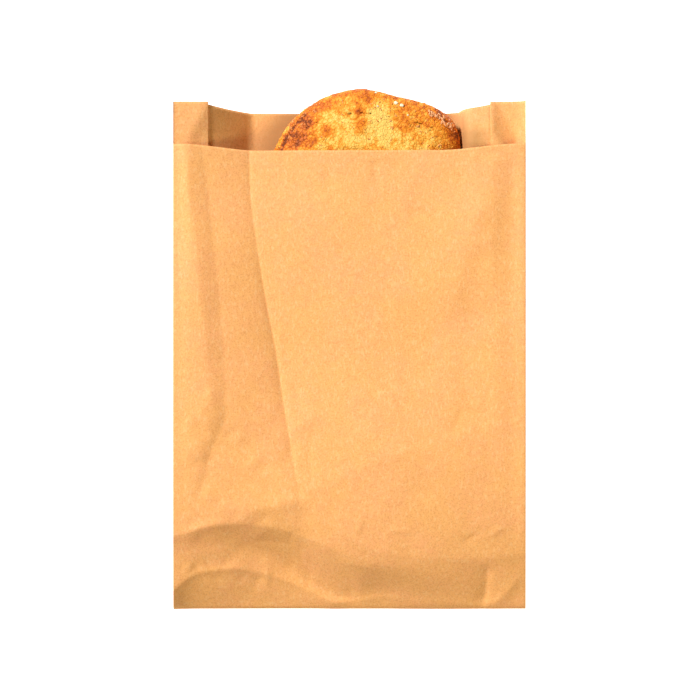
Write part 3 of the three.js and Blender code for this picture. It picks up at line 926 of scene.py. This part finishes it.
def kraft_paper():
    paper = Finish("kraft_paper")
    cloud = paper.noise(38, 4, 0.6)
    mottle = paper.noise(330, 3, 0.65)
    speck = paper.noise(1300, 2, 0.7)
    fibre = paper.noise(900, 2, 0.7, stretch=(1, 0.4, 1))
    color = paper.blend(cloud.ramp(0.35, 0.65), (0.895, 0.432, 0.146), (0.905, 0.418, 0.166))
    color = paper.blend(mottle.ramp(0.35, 0.65) * 0.4, color, (0.92, 0.475, 0.150))
    color = paper.blend(speck.ramp(0.46, 0.66) * 0.55, color, (0.66, 0.27, 0.076))
    color = paper.blend(fibre.ramp(0.5, 0.7) * 0.45, color, (0.95, 0.58, 0.27))
    # Where the inside layer is high the colour turns darker: a little over the whole inside, and fully beside the
    # loaf, as painted shade.
    color = paper.blend(paper.attribute("inside"), color, (0.52, 0.255, 0.088))
    crinkle = paper.noise(75, 5, 0.6)
    height = crinkle * 0.7 + fibre * 0.09 + speck * 0.07
    return paper.shade(color, 0.72, 0.25, paper.bump(height, 0.0009, 0.6))


def bread_crust():
    crust = Finish("bread_crust")
    bent = crust.object_place() + crust.noise_color(210, 2, 0.5) * 0.0016
    cells = {"Vector": bent, "Scale": 560, "Randomness": 1.0}
    cracks = crust.node("ShaderNodeTexVoronoi", {"feature": "DISTANCE_TO_EDGE"}, cells)
    mottle = crust.noise(300, 3, 0.6, distortion=0.5)
    fine = crust.noise(850, 3, 0.65)
    speck = crust.noise(620, 2, 0.5)
    streak = crust.noise(300, 2, 0.6, stretch=(1, 0.3, 1))
    rough = crust.attribute("rough")
    crack = 1 - cracks.ramp(0.0, 0.16)
    # Besides the crust's browning, this attribute carries the painted shade in its pits.
    tone = crust.attribute("browned_and_pit_shade") + (mottle - 0.5) * 1.6 + (fine - 0.5) * 0.8 + crack * (0.08 + rough * 0.2)
    tone = tone + (streak - 0.5) * rough * 0.8
    color = crust.blend(tone.ramp(0.0, 0.34), (0.93, 0.58, 0.130), (0.93, 0.42, 0.054))
    color = crust.blend(tone.ramp(0.28, 0.62), color, (0.82, 0.250, 0.015))
    color = crust.blend(tone.ramp(0.60, 0.95), color, (0.58, 0.125, 0.010))
    color = crust.blend(tone.ramp(0.95, 1.4), color, (0.20, 0.040, 0.006))
    color = crust.blend(speck.ramp(0.70, 0.76) * 0.8, color, (0.22, 0.10, 0.02))
    height = mottle * 0.5 + fine * 0.5 - crack * 0.35
    return crust.shade(color, 0.62 - rough * 0.1, 0.18, crust.bump(height, 0.0008, 0.7))


def flake_crust():
    flake = Finish("crust_flake")
    pale = flake.attribute("pale")
    fine = flake.noise(1500, 2, 0.6)
    color = flake.blend(pale, (0.72, 0.22, 0.035), (0.88, 0.46, 0.22))
    color = flake.blend(fine.ramp(0.45, 0.7) * 0.5, color, (0.62, 0.19, 0.04))
    return flake.shade(color, 0.55, 0.3, flake.bump(fine, 0.0003, 0.6))


def cream_grain():
    grain = Finish("cream_grain")
    shade = grain.noise(900, 3, 0.6)
    color = grain.blend(shade.ramp(0.35, 0.7), (0.96, 0.88, 0.66), (0.90, 0.66, 0.36))
    return grain.shade(color, 0.6, 0.3, grain.bump(shade, 0.0003, 0.6))


def pale_floor():
    floor = Finish("pale_floor")
    floor.shade((0.8, 0.8, 0.8), 0.9, 0.0)
    floor.feed(floor.shader.inputs["Emission Color"], (1.0, 1.0, 1.0))
    floor.feed(floor.shader.inputs["Emission Strength"], 0.95)
    return floor.material


# ----------------------------------------------------------------------------- camera, light, floor

# In metres. The camera looks straight down and sees a square of PHOTO_WIDTH of the floor.
CAMERA_HEIGHT = 1.2
CAMERA_X = 0.0003
PHOTO_WIDTH = 0.35791
FLOOR_SIZE = 12
FLOOR_Z = -0.0001


def place_camera():
    data = bpy.data.cameras.new("camera")
    data.sensor_width = 36
    data.lens = 36 * CAMERA_HEIGHT / PHOTO_WIDTH
    data.clip_start = 0.05
    data.clip_end = 20
    camera = bpy.data.objects.new("camera", data)
    camera.location = (CAMERA_X, 0.0, CAMERA_HEIGHT)
    bpy.context.scene.collection.objects.link(camera)
    bpy.context.scene.camera = camera


def area_light(name, place, size, power, color=(1, 1, 1)):
    data = bpy.data.lights.new(name, "AREA")
    data.shape = "DISK"
    data.size = size
    data.energy = power
    data.color = color
    light = bpy.data.objects.new(name, data)
    light.location = place
    light.rotation_mode = "QUATERNION"
    light.rotation_quaternion = Vector(place).to_track_quat("Z", "Y")
    bpy.context.scene.collection.objects.link(light)


def set_stage():
    bm = bmesh.new()
    bmesh.ops.create_grid(bm, x_segments=1, y_segments=1, size=FLOOR_SIZE)
    bmesh.ops.translate(bm, vec=(0, 0, FLOOR_Z), verts=bm.verts)
    mesh = bpy.data.meshes.new("floor")
    bm.to_mesh(mesh)
    bm.free()
    mesh.materials.append(pale_floor())
    floor = bpy.data.objects.new("floor", mesh)
    bpy.context.scene.collection.objects.link(floor)
    world = bpy.data.worlds.new("soft_studio")
    world.use_nodes = True
    world.node_tree.nodes["Background"].inputs["Color"].default_value = (1, 0.86, 0.42, 1)
    world.node_tree.nodes["Background"].inputs["Strength"].default_value = 0.15
    bpy.context.scene.world = world
    area_light("key_light", (-3.05, 2.85, 3.1), 0.9, 384, (1, 1, 1.05))
    area_light("side_light", (0.26, -0.30, 0.60), 0.3, 1.45, (1, 0.94, 0.72))
    bpy.context.scene.view_settings.view_transform = "Standard"


# -------------------------------------------------------------------------------------------- build

bag = finish_piece("paper_bag_sheet", paper_sheet(), kraft_paper(), "paper_bag")
wall = bag.modifiers.new("wall", "SOLIDIFY")
wall.thickness = PAPER * MM
wall.offset = 0
loaf = loaf_body()
crust_surface = BVHTree.FromBMesh(loaf)
draw = random.Random(31)
finish_piece("crust_flakes", crust_flakes(crust_surface, draw), flake_crust(), "bread")
finish_piece("cream_grains", cream_grains(crust_surface, draw), cream_grain(), "bread")
finish_piece("loaf", loaf, bread_crust(), "bread")
set_stage()
place_camera()
